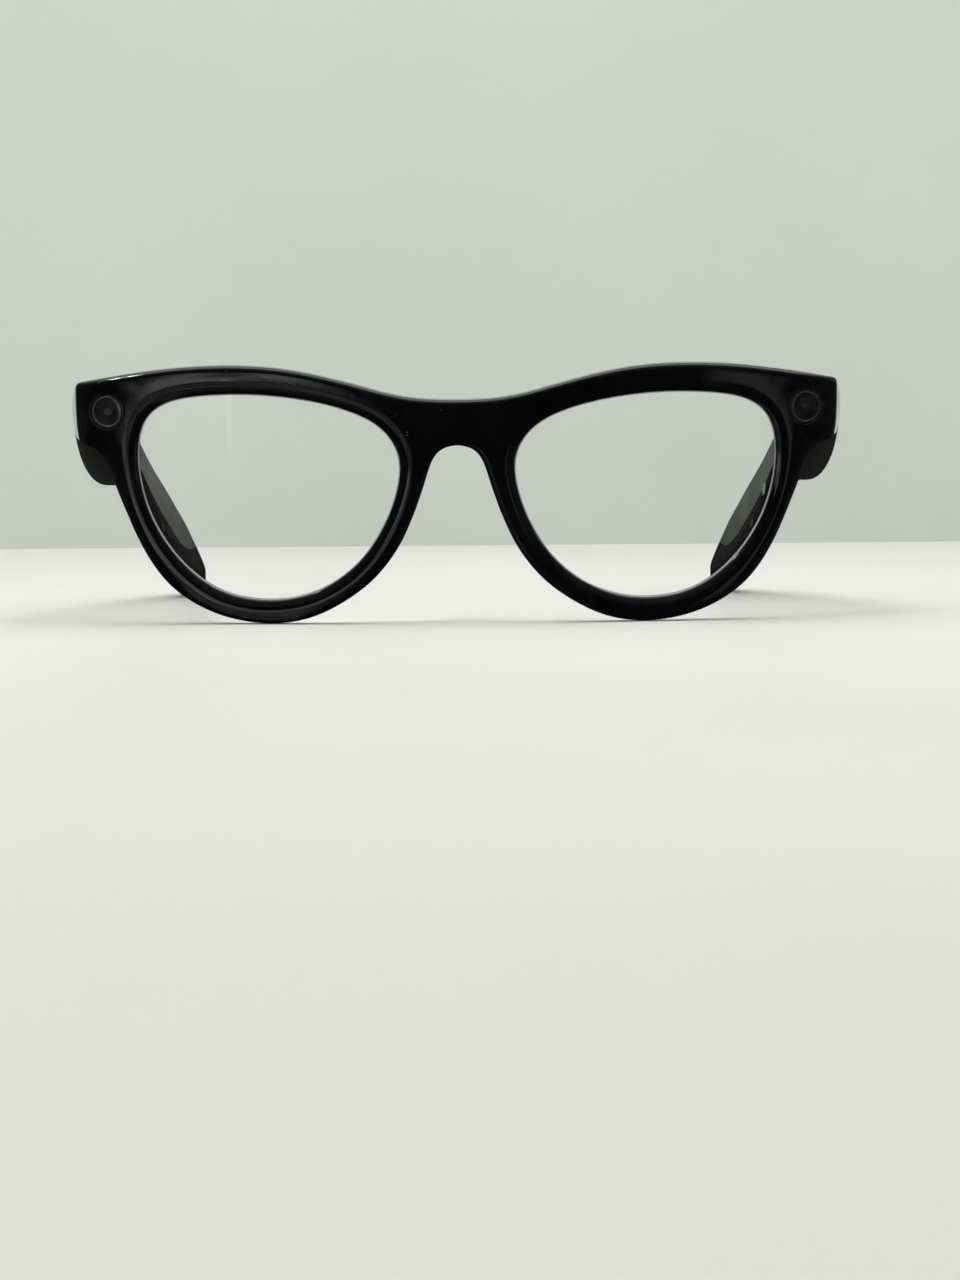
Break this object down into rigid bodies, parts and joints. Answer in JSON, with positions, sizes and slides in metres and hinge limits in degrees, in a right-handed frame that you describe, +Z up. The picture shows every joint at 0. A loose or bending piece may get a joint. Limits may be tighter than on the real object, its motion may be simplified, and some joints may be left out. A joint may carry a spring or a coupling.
{
  "type": "smart glasses",
  "caption": "Thick-rimmed clear-lens smart glasses with a front camera and indicator light, and folding temples that hold a battery, a board and speakers.",
  "frame": {"origin": "bottom centre of the unfolded glasses' bounding box, on the surface they stand on", "axes": "+Z up, +X towards the wearer's left temple, +Y from the front back to the temple tips"},
  "size_m": [0.1518, 0.1426, 0.0503],
  "materials": {
    "frame_gloss": "polished black acetate-like plastic",
    "temple_gloss": "polished black plastic with matte end faces",
    "inner_cover": "fine satin",
    "lens_clear": "clear, coated",
    "ring": "satin anodised",
    "window_dark": "dark tinted",
    "window_light": "frosted behind a dark tint",
    "nose_pad": "soft polish",
    "hinge_steel": "brushed, dark nickel",
    "screw_steel": "turned, dark",
    "cover_matte": "matte",
    "contact_gold": "plated",
    "magnet": "nickel plated",
    "flex_amber": "polyimide film",
    "board_green": "solder mask",
    "module_black": "matte moulding",
    "shield_can": "tin plated",
    "battery_foil": "pouch foil",
    "core_steel": "drawn strip",
    "speaker_black": "moulded",
    "grille_mesh": "blackened",
    "button_gloss": "satin polish"
  },
  "bodies": {
    "front": {"front_frame": "frame_gloss", "brow_back_cover": "cover_matte", "front_flex_cable": "flex_amber", "lens_left": "lens_clear", "lens_right": "lens_clear", "camera_bezel": "ring", "camera_window": "window_dark", "camera_module": "module_black", "led_bezel": "ring", "led_window": "window_light", "led_board": "board_green", "hinge_front_leaf_left": "hinge_steel", "hinge_front_leaf_right": "hinge_steel", "hinge_pin_left": "screw_steel", "hinge_pin_right": "screw_steel", "endpiece_cover_left": "cover_matte", "endpiece_cover_right": "cover_matte", "front_hinge_screws": "screw_steel", "nose_pad_left": "nose_pad", "nose_pad_right": "nose_pad", "charging_contacts": "contact_gold", "charging_magnets": "magnet", "bridge_microphone": "shield_can"},
    "temple_left": {"temple_shell_left": "temple_gloss", "temple_inner_cover_left": "inner_cover", "temple_core_left": "core_steel", "hinge_rear_leaf_left": "hinge_steel", "temple_screws_left": "screw_steel", "battery": "battery_foil", "power_switch_body": "module_black", "speaker_left": "speaker_black", "speaker_grille_left": "grille_mesh", "temple_microphone_left": "shield_can", "temple_flex_left": "flex_amber"},
    "temple_right": {"temple_shell_right": "temple_gloss", "temple_inner_cover_right": "inner_cover", "temple_core_right": "core_steel", "hinge_rear_leaf_right": "hinge_steel", "temple_screws_right": "screw_steel", "main_board": "board_green", "board_shield": "shield_can", "touchpad_flex": "flex_amber", "button_switch": "module_black", "speaker_right": "speaker_black", "speaker_grille_right": "grille_mesh", "temple_microphone_right": "shield_can"},
    "capture_button": {"capture_button": "button_gloss"},
    "power_slider": {"power_slider": "button_gloss"}
  },
  "joints": [
    {"name": "temple_left_fold", "type": "hinge", "parent": "front", "child": "temple_left", "pos_m": [0.0652, -0.05001, 0.0392], "axis": [0, 0, 1], "range_deg": [0, 90]},
    {"name": "temple_right_fold", "type": "hinge", "parent": "front", "child": "temple_right", "pos_m": [-0.0652, -0.05001, 0.0392], "axis": [0, 0, -1], "range_deg": [0, 81]},
    {"name": "capture_button_press", "type": "slide", "parent": "temple_right", "child": "capture_button", "axis": [0, -0.2377, -0.9713], "range_m": [0, 0.0005], "stiffness_N_per_m": 900, "springref_m": -0.0004},
    {"name": "power_slider_slide", "type": "slide", "parent": "temple_left", "child": "power_slider", "axis": [0, 0.9713, -0.2377], "range_m": [0, 0.002]}
  ]
}
